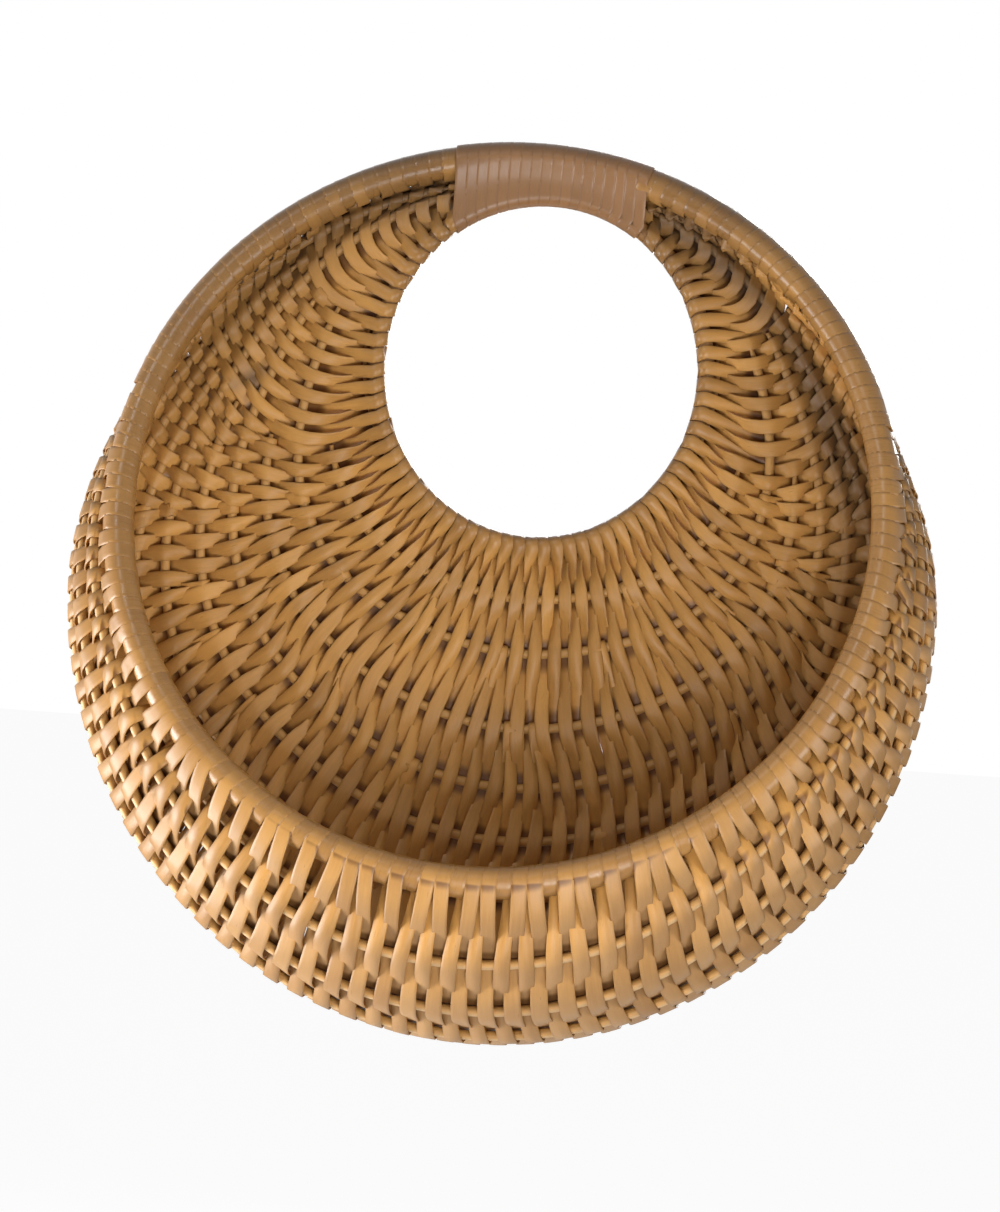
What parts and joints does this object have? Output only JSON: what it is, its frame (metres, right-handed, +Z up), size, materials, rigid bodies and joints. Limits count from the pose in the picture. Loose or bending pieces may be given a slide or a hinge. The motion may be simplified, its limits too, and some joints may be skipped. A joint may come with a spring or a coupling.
{
  "type": "half moon wall basket",
  "caption": "Hand-woven cane wall basket: a leaning round rim, a round hand hole at the back and a crescent pocket of flat splints over round ribs.",
  "frame": {"origin": "top of the round hand hole in the plane of the wall, where the basket hangs on a hook or nail", "axes": "+Z up, +Y into the wall behind the basket, +X to the right as seen from the front"},
  "size_m": [0.372, 0.1273, 0.3855],
  "materials": {
    "rod_cane": "varnished, satin gloss",
    "rib_cane": "varnished, dull",
    "splint_cane": "varnished, satin",
    "grip_cane": "varnished, satin gloss"
  },
  "bodies": {
    "root": {"front_rim_hoop": "rod_cane", "inner_ring_hoop": "rod_cane", "rib_01": "rib_cane", "rib_02": "rib_cane", "rib_03": "rib_cane", "rib_04": "rib_cane", "rib_05": "rib_cane", "rib_06": "rib_cane", "rib_07": "rib_cane", "rib_08": "rib_cane", "rib_09": "rib_cane", "rib_10": "rib_cane", "rib_11": "rib_cane", "rib_12": "rib_cane", "rib_13": "rib_cane", "weaver_01": "splint_cane", "weaver_02": "splint_cane", "weaver_03": "splint_cane", "weaver_04": "splint_cane", "weaver_05": "splint_cane", "weaver_06": "splint_cane", "weaver_07": "splint_cane", "weaver_08": "splint_cane", "weaver_09": "splint_cane", "weaver_10": "splint_cane", "weaver_11": "splint_cane", "weaver_12": "splint_cane", "weaver_13": "splint_cane", "weaver_14": "splint_cane", "weaver_15": "splint_cane", "weaver_16": "splint_cane", "weaver_17": "splint_cane", "weaver_18": "splint_cane", "weaver_19": "splint_cane", "weaver_20": "splint_cane", "weaver_21": "splint_cane", "weaver_22": "splint_cane", "weaver_23": "splint_cane", "weaver_24": "splint_cane", "grip_wrap": "grip_cane"}
  },
  "joints": []
}
